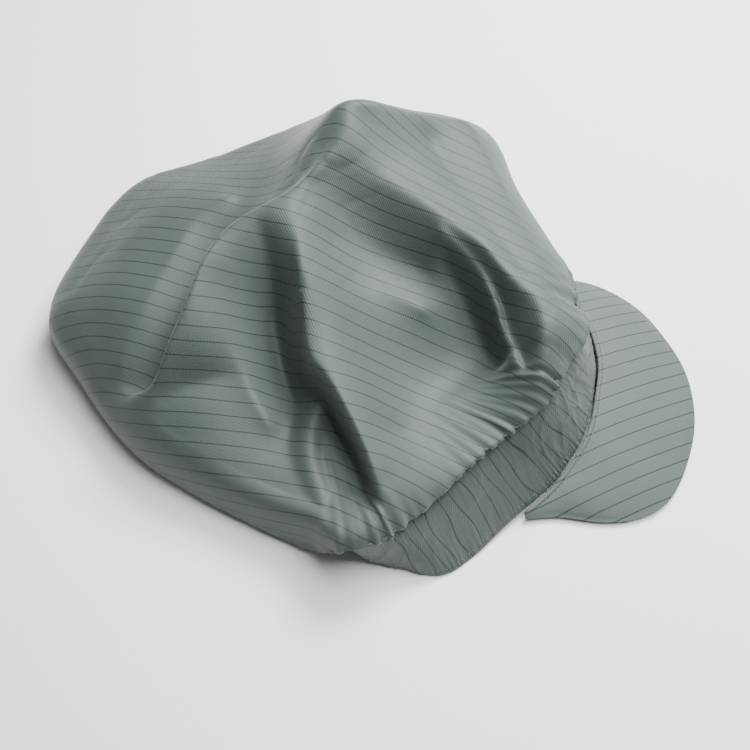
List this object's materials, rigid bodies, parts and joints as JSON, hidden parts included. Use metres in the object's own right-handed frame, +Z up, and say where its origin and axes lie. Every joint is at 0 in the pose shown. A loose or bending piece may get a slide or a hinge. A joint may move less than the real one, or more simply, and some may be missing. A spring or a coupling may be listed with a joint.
{
  "type": "antistatic peaked cap",
  "caption": "Soft work cap with a full gathered crown, a double headband and a stiffened peak, lying as put down.",
  "frame": {"origin": "bottom centre of the lying cap's box, on the surface that it rests on", "axes": "+Z up from the surface, -Y toward the peak, +X toward the side that the full crown has fallen over to"},
  "size_m": [0.3393, 0.4248, 0.1436],
  "materials": {
    "crown_cloth": "grey green polyester twill with fine dark stripes, satin",
    "band_cloth": "grey green polyester twill with fine dark stripes, satin",
    "peak_cloth": "grey green polyester twill with fine dark stripes over a stiffener, satin"
  },
  "bodies": {
    "root": {"crown": "crown_cloth", "headband": "band_cloth", "peak": "peak_cloth"}
  },
  "joints": []
}
